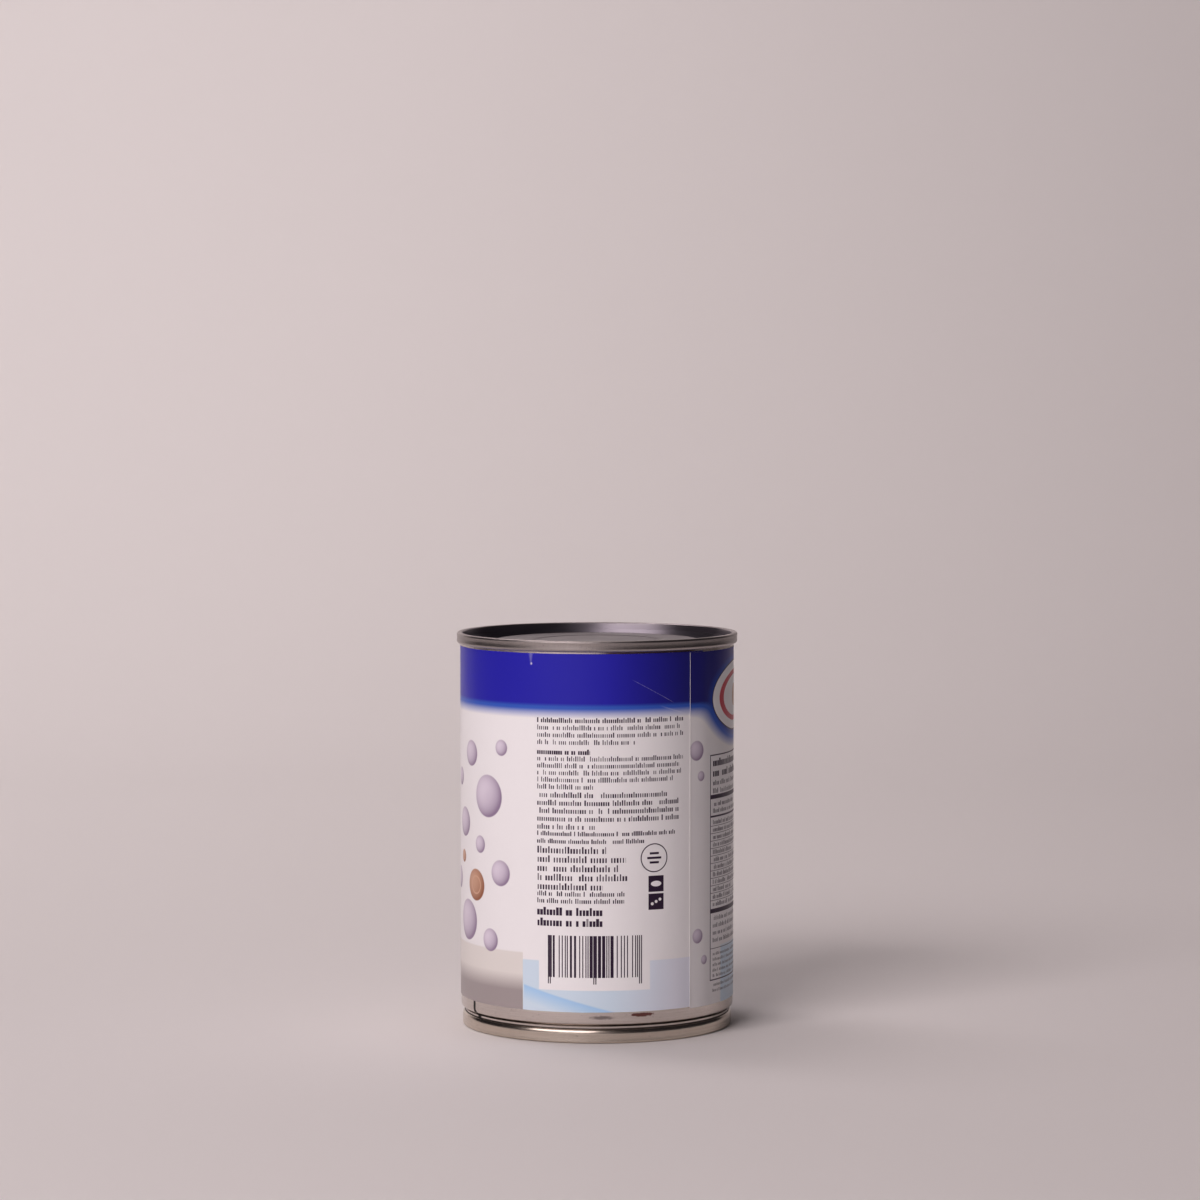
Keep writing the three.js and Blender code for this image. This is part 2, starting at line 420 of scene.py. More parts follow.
def front_panel():
    """The rows of small print. A block is: top, row pitch, height, rows, weight, right end, raggedness."""
    blocks = (
        (85.25, 1.9, 1.3, 1, 0.06, 24.2, 0.0),
        (83.35, 1.9, 1.3, 2, 0.0, 24.2, 0.03),
        (79.55, 1.9, 1.3, 1, 0.0, 10.0, 0.0),
        (77.05, 1.9, 1.4, 1, 0.14, -1.8, 0.0),
        (75.25, 1.83, 1.3, 3, 0.0, 24.6, 0.05),
        (69.75, 1.83, 1.3, 1, 0.0, 21.0, 0.0),
        (67.9, 1.83, 1.3, 1, 0.0, -1.0, 0.0),
        (65.85, 2.07, 1.45, 4, 0.03, 23.4, 0.12),
        (57.55, 2.07, 1.45, 1, 0.03, -0.6, 0.0),
        (55.6, 1.99, 1.2, 2, 0.06, 24.2, 0.3),
        (51.6, 2.39, 1.8, 5, 0.02, 10.5, 0.35),
        (39.9, 1.86, 1.3, 2, 0.02, 7.4, 0.03),
        (35.65, 2.85, 2.1, 2, 0.14, 1.6, 0.02),
    )
    return Panel(FIELD_LEFT + 0.4, 11.4, stroke_rows(TEXT_LEFT, blocks, 5))


def front_panel_end():
    """What the front panel's rows are right of the marks' left edge, where the rows are long enough."""
    full = [item for item in front_panel().items if item.right > 11.4]
    ring_u, ring_z = MARK_RING
    bars = ((1.2, 1.3), (0.0, 2.0), (-1.2, 1.3))
    marks = [
        Item(ring_u - half, ring_u + half, ring_z + rise - 0.28, ring_z + rise + 0.28, SOLID, 0)
        for rise, half in bars
    ]
    marks += [Item(SQUARE_LEFT, SQUARE_RIGHT, low, low + 4.2, SOLID, 0) for low in SQUARE_LEVELS]
    return Panel(11.4, 26.0, full + marks)


def table_panel():
    """A framed table: its rules, and between them rows of strokes."""
    left, right, bottom, top = TABLE
    rules = ((top - 0.15, 0.3), (63.2, 1.1), (58.0, 0.45), (32.9, 1.15), (22.9, 0.15), (bottom + 0.15, 0.3))
    items = [Item(left, right, z - thick / 2, z + thick / 2, SOLID, 0) for z, thick in rules]
    row_start = left + 1.3
    blocks = (
        (73.3, 2.75, 2.0, 2, 0.14, right - 3, 0.3),
        (67.6, 2.15, 1.35, 2, 0.0, right - 2, 0.4),
        (61.9, 1.8, 1.2, 2, 0.03, right - 2, 0.5),
        (31.6, 1.95, 1.2, 4, 0.0, right - 3, 0.5),
        (21.9, 1.45, 0.85, 5, 0.0, right - 1.5, 0.1),
        (13.7, 1.5, 0.85, 2, 0.0, right - 3, 0.2),
    )
    items += stroke_rows(row_start, blocks, 6)
    pitch, count = 1.98, 12
    items += stroke_rows(row_start, ((57.1, pitch, 1.2, count, 0.03, right - 3, 0.6),), 7)
    for i in range(1, count):
        level = 57.45 - i * pitch
        items.append(Item(left, right, level - 0.06, level + 0.06, SOLID, 0))
    return Panel(left + 0.3, right - 0.3, items)


def table_sides():
    """The two upright sides of the table's frame."""
    left, right, bottom, top = TABLE
    return [
        Panel(left, left + 0.3, [Item(left - 1, left + 0.3, bottom, top, SOLID, 0)]),
        Panel(right - 0.3, right, [Item(right - 0.3, right + 1, bottom, top, SOLID, 0)]),
    ]


def back_panels():
    """The side away from the photo: more rows, and dark bars."""
    upper = ((33.6, 2.1, 1.5, 4, 0.08, -76.0, 0.3),)
    lower = ((78.0, 2.4, 1.8, 2, 0.14, -125.0, 0.2), (44.0, 1.9, 1.2, 6, 0.0, -123.0, 0.3))
    bars = [Item(-154, -124, z, z + 0.5, SOLID, 0) for z in (46.0, 31.6)]
    return [
        Panel(-108, -70, stroke_rows(-104, upper, 8)),
        Panel(-157, -121, stroke_rows(-154, lower, 9) + bars),
    ]


def all_panels():
    return [front_panel(), front_panel_end(), table_panel(), *table_sides(), *back_panels()]


def cell_levels(panel):
    """Heights that part a panel's items, from its top item to its lowest one."""
    items = sorted(panel.items, key=lambda item: -item.top)
    levels = [items[0].top + 0.15]
    levels += [(above.bottom + below.top) / 2 for above, below in zip(items, items[1:])]
    levels.append(items[-1].bottom - 0.15)
    return items, levels


def spaced(values, least):
    """The values in order, without those that come closer than a distance to the one before."""
    kept = []
    for value in sorted(values):
        if not kept or value - kept[-1] >= least:
            kept.append(value)
    return np.array(kept)


def label_columns():
    """Degrees after the outer edge, close together at both ends of the strip, and at each panel's sides."""
    wound = 360 + LAP_ANGLE
    fine = np.array([0, 0.08, 0.2, 0.4, 0.7, 1.1])
    sides = [edge for panel in all_panels() for edge in (panel.left, panel.right)]
    at_sides = [side / ARC_PER_DEGREE + 360 - LAP_EDGE_ANGLE for side in sides]
    even = np.arange(2.5, wound - 2, 1.5)
    even = [a for a in even if min(abs(a - b) for b in at_sides) > 0.4]
    return np.concatenate([fine, sorted([*even, *at_sides]), wound - fine[::-1]])


PRINT_RISE = LABEL_CLIMB * (360 - LAP_EDGE_ANGLE) / 360


def label_shares():
    """Shares of the label's height for its mesh, so that each printed item has faces to itself."""
    levels = {z for panel in all_panels() for z in cell_levels(panel)[1]}
    levels = {z - PRINT_RISE for z in levels}
    even = np.arange(LABEL_BOTTOM + 1.5, LABEL_TOP - 1, 1.9)
    even = [z for z in even if min(abs(z - other) for other in levels) > 0.6]
    lower_end = [LABEL_BOTTOM + rise for rise in (0, 0.2, 0.6)]
    upper_end = [LABEL_TOP - drop for drop in (0.6, 0.2, 0)]
    levels = spaced([*levels, *even, *lower_end, *upper_end], 0.03)
    return (levels - LABEL_BOTTOM) / (LABEL_TOP - LABEL_BOTTOM)


def print_marks(u, z):
    """For the middle of each face: the item that is printed there, and the ball."""
    bars = np.tile((1000.0, 1000.0, 0.0), (len(u), 1))
    spans = np.tile((0.0, 1.0, 0.0), (len(u), 1))
    for panel in all_panels():
        items, levels = cell_levels(panel)
        across = (u > panel.left) & (u < panel.right)
        for item, high, low in zip(items, levels, levels[1:]):
            held = across & (z > low) & (z < high)
            bars[held] = (item.left, item.right, item.seed)
            spans[held] = (item.bottom, item.top, item.weight)
    balls = np.tile((1000.0, 1000.0, 1.0), (len(u), 1))
    caramel = np.zeros(len(u))
    nearest = np.full(len(u), 1.3)
    for kind, ball_list in enumerate((BALLS, CARAMEL_BALLS)):
        for ball in ball_list:
            away = np.hypot(u - ball[0], z - ball[1]) - ball[2]
            held = away < nearest
            balls[held] = ball
            caramel[held] = kind
            nearest[held] = away[held]
    return {"ink_bar": bars, "ink_span": spans, "ball": balls, "ball_kind": caramel}


def strip_faces(rows, columns):
    """The faces of a strip whose section is a loop of rows: outer ones, inner ones, then its two ends."""
    loops = 2 * rows
    faces = []
    for i in range(loops):
        k = (i + 1) % loops
        faces += [(i * columns + j, i * columns + j + 1, k * columns + j + 1, k * columns + j)
                  for j in range(columns - 1)]
    for j in (0, columns - 1):
        for i in range(rows - 1):
            low, high = i * columns + j, (i + 1) * columns + j
            high_in, low_in = (loops - 2 - i) * columns + j, (loops - 1 - i) * columns + j
            faces.append((low, high, high_in, low_in) if j == 0 else (low_in, high_in, high, low))
    return faces


def label_piece(print_material, bare_material):
    """A strip of paper wound once round and a little over itself."""
    turned = label_columns()
    angle = np.radians(LAP_EDGE_ANGLE + turned)[None, :]
    shares = label_shares()
    rows, columns = len(shares), len(turned)
    share = np.concatenate([shares, shares[::-1]])[:, None]
    outer = (np.arange(2 * rows) < rows)[:, None]
    edge_wave = 0.05 * ripple(21, (5, 11, 23, 41), angle)
    base_wave = 0.06 * ripple(22, (4, 9, 19, 34), angle)
    level = LABEL_BOTTOM + (LABEL_TOP - LABEL_BOTTOM) * share + base_wave * (1 - share) + edge_wave * share
    swell = 0.02 * (1 + ripple(23, (3, 6, 10), angle) * np.cos(9 * share)) * np.sin(np.pi * share)
    radius = label_inner_radius(turned)[None, :] + swell + LABEL_THICKNESS * outer
    climb = LABEL_CLIMB * turned[None, :] / 360
    places = np.stack([radius * np.sin(angle), -radius * np.cos(angle), level + climb], 2).reshape(-1, 3)
    across = (turned[None, :] + LAP_EDGE_ANGLE - 360) * ARC_PER_DEGREE + 0 * level
    prints = np.stack([across, level + PRINT_RISE, 0 * level], 2).reshape(-1, 3)
    faces = strip_faces(rows, columns)
    along = np.concatenate([shares * 0.94 + 0.05, 0.04 * shares[::-1]])
    u, v = np.meshgrid(turned / turned[-1], along)
    flat = np.stack([u, v], 2).reshape(-1, 2)
    maps = flat[np.array(faces)]
    piece = mesh_object("paper_label", places, faces, maps, print_material)
    piece.data.materials.append(bare_material)
    bare = np.ones(len(faces), np.int32)
    bare[: (rows - 1) * (columns - 1)] = 0
    piece.data.polygons.foreach_set("material_index", bare)
    add_attribute(piece.data, "print_place", "POINT", prints)
    middles = prints[np.array(faces)].mean(1)
    for name, values in print_marks(middles[:, 0], middles[:, 1]).items():
        add_attribute(piece.data, name, "FACE", values)
    return dress(piece, "label")


def add_attribute(mesh, name, domain, values):
    """Keeps a number or a vector for each point or face of a mesh."""
    kind, part = ("FLOAT_VECTOR", "vector") if values.ndim == 2 else ("FLOAT", "value")
    layer = mesh.attributes.new(name, kind, domain)
    layer.data.foreach_set(part, values.astype(np.float32).ravel())


# Shader nodes, written as formulas

EDGE = 0.07  # how soft a printed edge is

class Value:
    """A number, vector or colour that shader nodes work out at each point of a surface."""

    def __init__(self, tree, socket):
        self.tree = tree
        self.socket = socket

    def math(self, operation, *others, clamp=False):
        node = self.tree.nodes.new("ShaderNodeMath")
        node.operation = operation
        node.use_clamp = clamp
        for slot, value in zip(node.inputs, (self, *others)):
            feed(slot, value)
        return Value(self.tree, node.outputs[0])

    def vector(self, operation, *others, output=0):
        node = self.tree.nodes.new("ShaderNodeVectorMath")
        node.operation = operation
        for slot, value in zip(node.inputs, (self, *others)):
            feed(slot, value)
        return Value(self.tree, node.outputs[output])

    def __add__(self, other):
        return self.math("ADD", other)

    def __sub__(self, other):
        return self.math("SUBTRACT", other)

    def __rsub__(self, other):
        return self.math("MULTIPLY_ADD", -1.0, other)

    def __mul__(self, other):
        return self.math("MULTIPLY", other)

    def __truediv__(self, other):
        return self.math("DIVIDE", other)

    def floor(self):
        return self.math("FLOOR")

    def fraction(self):
        return self.math("FRACT")

    def size(self):
        return self.math("ABSOLUTE")

    def either(self, other):
        return self.math("MAXIMUM", other)


def feed(slot, value):
    """Gives an input a number, a colour or what another node works out."""
    if isinstance(value, Value):
        slot.id_data.links.new(value.socket, slot)
    elif slot.type == "RGBA" and len(value) == 3:
        slot.default_value = (*value, 1)
    else:
        slot.default_value = value


def new_node(tree, kind, output=0, inputs=(), **settings):
    node = tree.nodes.new("ShaderNode" + kind)
    for name, value in settings.items():
        setattr(node, name, value)
    for name, value in dict(inputs).items():
        feed(node.inputs[name], value)
    return Value(tree, node.outputs[output])


def mixed(share, low, high):
    """One colour, and another one where the share is 1."""
    node = share.tree.nodes.new("ShaderNodeMix")
    node.data_type = "RGBA"
    for slot, value in ((0, share), (6, low), (7, high)):
        feed(node.inputs[slot], value)
    return Value(share.tree, node.outputs[2])


def noise(place, scale, detail=2.0, roughness=0.5):
    """Cloudy noise, mostly between 0.3 and 0.7, at a place that is scaled first."""
    scaled = place.vector("MULTIPLY", scale)
    inputs = {"Vector": scaled, "Scale": 1.0, "Detail": detail, "Roughness": roughness}
    return new_node(place.tree, "TexNoise", 0, inputs)


def chance(value):
    """A random number from 0 to 1 for each whole value."""
    return new_node(value.tree, "TexWhiteNoise", 0, {"W": value}, noise_dimensions="1D")


def above(value, edge, soft=EDGE):
    """1 where a value is over an edge and 0 under it."""
    return value.math("MULTIPLY_ADD", 1 / soft, 0.5 - edge / soft, clamp=True)


def below(value, edge, soft=EDGE):
    return value.math("MULTIPLY_ADD", -1 / soft, 0.5 + edge / soft, clamp=True)


def between(value, low, high, soft=EDGE):
    return above(value, low, soft) * below(value, high, soft)


# The print of the label, in shader nodes

class Print:
    """The printed place in millimetres, with the shapes that can be drawn there as shares from 0 to 1."""

    def __init__(self, tree):
        self.tree = tree
        self.place = self.held("print_place")
        self.u, self.z, _ = self.parts(self.place)

    def held(self, name, output="Vector"):
        attribute = self.tree.nodes.new("ShaderNodeAttribute")
        attribute.attribute_name = name
        return Value(self.tree, attribute.outputs[output])

    def parts(self, vector):
        split = self.tree.nodes.new("ShaderNodeSeparateXYZ")
        feed(split.inputs[0], vector)
        return [Value(self.tree, part) for part in split.outputs]

    def box(self, left, right, bottom, top, soft=EDGE):
        return between(self.u, left, right, soft) * between(self.z, bottom, top, soft)

    def distance(self, u, z, across, up):
        """0 at an ellipse's centre and 1 on its edge."""
        moved = self.place.vector("SUBTRACT", (u, z, 0))
        return moved.vector("MULTIPLY", (1 / across, 1 / up, 0)).vector("LENGTH", output=1)

    def oval(self, u, z, across, up, soft=EDGE):
        return below(self.distance(u, z, across, up), 1, soft / up)

    def ring(self, u, z, across, up, width):
        away = (self.distance(u, z, across, up) - 1).size()
        return below(away, width / 2 / up, EDGE / up)


STROKE_PITCH = 0.42
WORD_GAPS = 0.13
SHORT_STROKES = 0.75
SHORT_BY = 0.3


def ink_items(art):
    """The item that each face of the label keeps: a solid bar, or upright strokes in groups."""
    left, right, seed = art.parts(art.held("ink_bar"))
    bottom, top, weight = art.parts(art.held("ink_span"))
    height = top - bottom
    inside = above(art.u - left, 0) * above(right - art.u, 0)
    inside = inside * above(art.z - bottom, 0) * above(top - art.z, 0)
    across = (art.u - left) / (height * STROKE_PITCH)
    code = across.floor() + seed
    wide = chance(code) * 0.14 + weight + 0.17
    stroke = below((across.fraction() - 0.5).size() - wide, 0, 0.12)
    shown = above(chance(code + 0.25), WORD_GAPS, 0.001)
    head = below(chance(code + 0.75), SHORT_STROKES, 0.001) * SHORT_BY
    tall = above((top - art.z) / height - head, 0, 0.06)
    return inside * above(weight, 0.5, 0.1).either(stroke * shown * tall)


MARK_RING = (15.4, 48.4)
SQUARE_LEFT = 13.75
SQUARE_RIGHT = 18.1
SQUARE_LEVELS = (39.5, 34.8)


def marks_of_front(art, colour):
    """A plain ring, the pale lozenge and dots in the two dark squares, and the bar pattern."""
    ring = art.ring(*MARK_RING, 3.7, 3.65, 0.28)
    colour = mixed(ring.either(bar_pattern(art)), colour, INK)
    middle = (SQUARE_LEFT + SQUARE_RIGHT) / 2
    pale = art.oval(middle, SQUARE_LEVELS[0] + 2.1, 1.5, 0.75)
    for step in (-1.1, 0, 1.1):
        pale = pale.either(art.oval(middle + step, SQUARE_LEVELS[1] + 2.1 + step / 2, 0.42, 0.42))
    return mixed(pale, colour, PAPER)


BARS = {"left": -13.06, "right": 11.95, "top": 28.3, "bottom": 17.3, "long": 15.6, "module": 0.272}


def bar_pattern(art):
    """Upright bars of chance widths, some of them longer."""
    left, right, top, module = BARS["left"], BARS["right"], BARS["top"], BARS["module"]
    cell = ((art.u - left) / module).floor()
    parted = above(cell.math("FLOORED_MODULO", 4.0), 0.5, 0.01)
    bars = above(chance(cell + 31), 0.4, 0.001) * parted * art.box(left, right, BARS["bottom"], top)
    for start in (left, -0.95, right - 3 * module):
        pair = (art.u - (start + 1.5 * module)).size()
        pair = between(pair, 0.5 * module, 1.5 * module) * between(art.z, BARS["long"], top)
        bars = bars.either(pair)
    return bars


TABLE = (-195.2, -161.5, 14.4, 74.4)

# Soft shaded discs: place and radius
BALLS = (
    (-33.0, 63.5, 5.6), (-41.5, 74.2, 3.4), (-27.6, 76.6, 2.1), (-46.5, 55.5, 3.9), (-36.6, 50.4, 2.3),
    (-28.0, 43.5, 3.4), (-50.6, 67.3, 2.4), (-43.8, 29.6, 5.4), (-32.0, 25.5, 3.0), (-53.0, 40.0, 3.0),
    (-201.0, 76.0, 2.6), (-199.3, 69.2, 1.3), (-200.6, 27.0, 1.9), (-198.0, 20.5, 1.2),
    (-72.0, 52.0, 6.2), (-86.0, 46.0, 4.4), (-99.0, 54.0, 5.2), (-112.0, 42.0, 3.4), (-63.0, 34.0, 3.2),
    (-128.0, 66.0, 4.2), (-138.0, 70.0, 2.6), (-149.0, 62.0, 5.0), (-137.0, 56.0, 3.0),
)
CARAMEL_BALLS = ((-38.8, 39.4, 4.2), (-47.6, 46.2, 1.7), (-92.0, 62.0, 3.6), (-146.0, 52.0, 3.0))


def ball_field(art, colour):
    """The ball that each face of the label keeps, lighter towards the upper left."""
    ball = art.held("ball")
    radius = art.parts(ball)[2]
    flat = art.place.vector("SUBTRACT", ball).vector("MULTIPLY", (1, 1, 0))
    away = flat.vector("LENGTH", output=1) / radius
    flat_u, flat_z, _ = art.parts(flat)
    dark_side = flat_u.math("MULTIPLY_ADD", 0.7, flat_z * -0.6) / radius
    shade = away.math("POWER", 3.0) * 0.55 + dark_side * 0.45 + 0.25
    shade = shade.math("MAXIMUM", 0.0).math("MINIMUM", 1.0)
    caramel = art.held("ball_kind", "Fac")
    light = mixed(caramel, LAVENDER_LIGHT, CARAMEL_LIGHT)
    dark = mixed(caramel, LAVENDER_DARK, CARAMEL)
    shaded = mixed(shade, light, dark)
    ring = below((away - 0.55).size(), 0.05, 0.04) * caramel
    shaded = mixed(ring, shaded, CARAMEL_LIGHT)
    return mixed(above((1 - away) * radius, 0, 0.3), colour, shaded)


OVALS = ((-176.3, 89.1, 17.6, 9.1), (-89.4, 86.6, 24.0, 12.2))
OVAL_BORDER = 4.9
BAND_EDGE = 85.0


def blue_band(art, colour):
    """The dark blue band, which dips round each oval and fades through a brighter blue into the paper, with
    painted shade deepening it right of the front and at the strip's start.
    """
    depth = art.z - BAND_EDGE
    for u, z, across, up in OVALS:
        away = art.distance(u, z, across + 1.2 * OVAL_BORDER, up + OVAL_BORDER)
        dip = (1 - away) * (up + OVAL_BORDER)
        depth = depth.math("SMOOTH_MAX", dip, 5.0)
    fade = depth.math("MULTIPLY_ADD", 0.38, 0.0, clamp=True).math("SMOOTH_MIN", 1.0, 0.2)
    colour = mixed(fade, colour, BRIGHT_BLUE)
    # Painted shade: the dark blue deepens right of the front and towards the strip's start
    past_front = art.u.math("MULTIPLY_ADD", 1 / 24, -0.1, clamp=True)
    strip_start = art.u.math("MULTIPLY_ADD", -1 / 45, -3.3, clamp=True)
    deep = mixed(past_front.either(strip_start), DARK_BLUE, SHADED_BLUE)
    return mixed(between(depth, 3.5, 400, 0.9), colour, deep)


def bare_ovals(art, colour):
    """The white ovals, each with a thin dark outline, a brighter halo, a plain red ring and a disc."""
    for u, z, across, up in OVALS:
        halo = below(art.distance(u, z, across + 1.6, up + 1.6), 1, 0.14)
        colour = mixed(halo * 0.55, colour, BRIGHT_BLUE)
        colour = mixed(art.oval(u, z, across + 0.35, up + 0.35), colour, INK)
        colour = mixed(art.oval(u, z, across, up), colour, PAPER)
        colour = mixed(art.ring(u, z, across * 0.72, up * 0.68, 1.3), colour, RED)
        colour = mixed(art.oval(u, z, up * 0.34, up * 0.34), colour, CARAMEL_LIGHT)
    return colour


FIELD_LEFT = -20.4
FIELD_TOP = 21.4
GROUND_TOP = 23.3


def lower_fields(art, colour):
    """The fields along the foot of the label: warm grey ground, pale blue fields and a bluer wedge."""
    left_part = between(art.u, -118, FIELD_LEFT, 0.1)
    ground = mixed(art.z.math("MULTIPLY_ADD", 1 / 4.5, -13.2 / 4.5, clamp=True), GROUND_DARK, GROUND_LIGHT)
    colour = mixed(left_part * below(art.z, GROUND_TOP, 0.5), colour, ground)
    fade = art.u.math("MULTIPLY_ADD", 1 / 18, -4 / 18, clamp=True)
    field = mixed(fade, PALE_BLUE, LAVENDER_WHITE)
    front_part = between(art.u, FIELD_LEFT, 60, 0.1)
    colour = mixed(front_part * below(art.z, FIELD_TOP + 0.1, 0.3), colour, field)
    back_part = between(art.u, -189.5, -118, 1.0)
    colour = mixed(back_part * below(art.z, GROUND_TOP, 0.8), colour, PALE_BLUE)
    for start, part in ((-20.06, front_part), (-155, back_part)):
        line = (art.u - start) * -0.2734 + 14.9
        bright = mixed(above(line - art.z, 2.2, 4.0), WEDGE_BLUE, PALE_BLUE)
        colour = mixed(part * above(line - art.z, 0, 0.5) * above(art.u, start, 0.1), colour, bright)
    patch = art.box(-15.6, 14.2, 13.9, FIELD_TOP + 1, 0.25)
    return mixed(patch, colour, PAPER)


NICK_U = -17.9
NICK_DEPTH = 3.0
SCRATCH = {"start": 9.7, "end": 20.8, "level": 94.9, "slope": -0.53}
STREAK = {"start": 18, "end": 24, "level": 87.2, "slope": -0.3}
CUT_EDGE = (LAP_EDGE_ANGLE - 360) * ARC_PER_DEGREE + 0.12


def wear(art, colour):
    """A nick at the top edge, a light scratch, a faint streak, and the bare cut edge at the lap."""
    drop = (LABEL_TOP + 0.3 - art.z) / NICK_DEPTH
    width = (1 - drop) * 0.55
    nick = above(width - (art.u - NICK_U).size(), 0, 0.5) * between(drop, -0.1, 1, 0.05) * 0.17
    spot = art.oval(NICK_U + 0.15, 99.2, 0.24, 0.3, 0.3) * 0.7
    line = (art.u - SCRATCH["start"]) * SCRATCH["slope"] + SCRATCH["level"]
    grain = chance((art.u * 4).floor())
    scratch = below((art.z - line).size(), 0.06, 0.12) * (grain * 0.25 + 0.12)
    scratch = scratch * between(art.u, SCRATCH["start"], SCRATCH["end"], 1.0)
    streak_line = (art.u - 20) * STREAK["slope"] + STREAK["level"]
    streak = below((art.z - streak_line).size(), 0.12, 0.3)
    streak = streak * between(art.u, STREAK["start"], STREAK["end"], 2)
    cut = below(art.u, CUT_EDGE, 0.05) * 0.6
    marks = nick.either(spot).either(scratch).either(streak * 0.2).either(cut)
    return mixed(marks, colour, PAPER)


def principled(tree, roughness, metallic=0.0, colour=None):
    """A surface shader on the material's output."""
    shader = tree.nodes.new("ShaderNodeBsdfPrincipled")
    output = tree.nodes.new("ShaderNodeOutputMaterial")
    tree.links.new(shader.outputs[0], output.inputs["Surface"])
    shader.inputs["Metallic"].default_value = metallic
    feed(shader.inputs["Roughness"], roughness)
    if colour is not None:
        feed(shader.inputs["Base Color"], colour)
    return shader


def bumped(shader, height, distance, strength=1.0):
    bump = shader.id_data.nodes.new("ShaderNodeBump")
    bump.inputs["Distance"].default_value = distance * MM
    bump.inputs["Strength"].default_value = strength
    feed(bump.inputs["Height"], height)
    shader.id_data.links.new(bump.outputs[0], shader.inputs["Normal"])


def new_material(name):
    material = bpy.data.materials.new(name)
    material.use_nodes = True
    material.node_tree.nodes.clear()
    return material, material.node_tree


def place_in_mm(tree):
    coordinates = tree.nodes.new("ShaderNodeTexCoord")
    return Value(tree, coordinates.outputs["Object"]).vector("MULTIPLY", (1000, 1000, 1000))


def printed_paper():
    material, tree = new_material("printed_paper")
    art = Print(tree)
    place = place_in_mm(tree)
    colour = mixed(noise(place, (0.9, 0.9, 0.9), 3) * 0.08, PAPER, (0.7, 0.68, 0.7))
    colour = lower_fields(art, colour)
    colour = ball_field(art, colour)
    colour = mixed(ink_items(art), colour, INK)
    colour = marks_of_front(art, colour)
    colour = blue_band(art, colour)
    colour = bare_ovals(art, colour)
    colour = wear(art, colour)
    rough = noise(place, (0.25, 0.25, 0.12), 3) * 0.15 + 0.27
    shader = principled(tree, rough, 0.0, colour)
    shader.inputs["Specular IOR Level"].default_value = 0.35
    fibres = noise(place, (3.5, 3.5, 2.0), 3) * 0.35
    waves = noise(place, (0.16, 0.16, 0.05), 2)
    bumped(shader, fibres + waves * 4, 0.02, 0.5)
    return material


def bare_paper():
    material, tree = new_material("bare_paper")
    place = place_in_mm(tree)
    fibres = noise(place, (6, 6, 3), 4)
    colour = mixed(fibres, (0.84, 0.82, 0.79), (0.9, 0.88, 0.86))
    shader = principled(tree, 0.8, 0.0, colour)
    bumped(shader, fibres, 0.03)
    return material


def stain_at(place, angle, half_width, level, half_height, edge):
    """An irregular spot on the wall, at an angle round the can and a height."""
    centre = (
        BODY_RADIUS * math.sin(math.radians(angle)),
        -BODY_RADIUS * math.cos(math.radians(angle)),
        level,
    )
    moved = place.vector("SUBTRACT", centre)
    away = moved.vector("MULTIPLY", (1 / half_width, 1 / half_width, 1 / half_height))
    length = away.vector("LENGTH", output=1)
    ragged = length + (noise(place, (1.4, 1.4, 1.9), 4, 0.6) - 0.5) * 1.5
    return below(ragged, 1, edge)


def angle_and_height(place):
    """How far a place is round the can from the front, and its height."""
    split = place.tree.nodes.new("ShaderNodeSeparateXYZ")
    feed(split.inputs[0], place)
    x, y, z = (Value(place.tree, part) for part in split.outputs)
    return x.math("ARCTAN2", y * -1) * (180 / math.pi), z


def weld_share(place, angle, z):
    """1 on the weld at the foot. Its edge is ragged, and it bends where the neck was drawn in."""
    ragged = (noise(place, (0.5, 0.5, 1.3), 3) - 0.5) * 0.6
    drawn = below(z, 5.4, 0.9)
    off = (angle - WELD_ANGLE + ragged - drawn * 1.6).size() - drawn * 0.4
    return below(off, 1.0, 0.3) * below(z, CAN_HEIGHT / 2)


def tin(name, colour, dark_colour, low_rough, high_rough):
    """Tinplate with streaks round the can, haze and specks, and the tone that marks are laid over."""
    material, tree = new_material(name)
    place = place_in_mm(tree)
    streaks = noise(place, (0.03, 0.03, 3.2), 4, 0.6)
    fine = noise(place, (0.35, 0.35, 11.0), 3, 0.6)
    haze = noise(place, (0.12, 0.12, 0.3), 4, 0.6)
    grain = streaks * 0.6 + fine * 0.4
    tone = mixed(grain.math("MULTIPLY_ADD", 2.6, -0.8, clamp=True), colour, dark_colour)
    specks = above(noise(place, (2.2, 2.2, 2.2), 2), 0.71, 0.03)
    tone = mixed(specks * 0.5, tone, SPECK)
    rough = haze.math("MULTIPLY_ADD", 1.6, -0.3, clamp=True) * (high_rough - low_rough) + low_rough
    shader = principled(tree, rough + fine * 0.08, 1.0, tone)
    bumped(shader, grain, 0.006, 0.8)
    return material, shader, place, tone


# Angle, half width, height, half height and softness of the two spots on the foot
RUST_SPOT = (19.0, 3.0, 7.35, 0.5, 0.25)
SMEAR_SPOT = (2.0, 2.6, 6.8, 0.45, 0.8)
# Angles of the painted shade on the tin's right end, the side turned away from the key light
SHADE_FROM = 63
SHADE_TO = 125


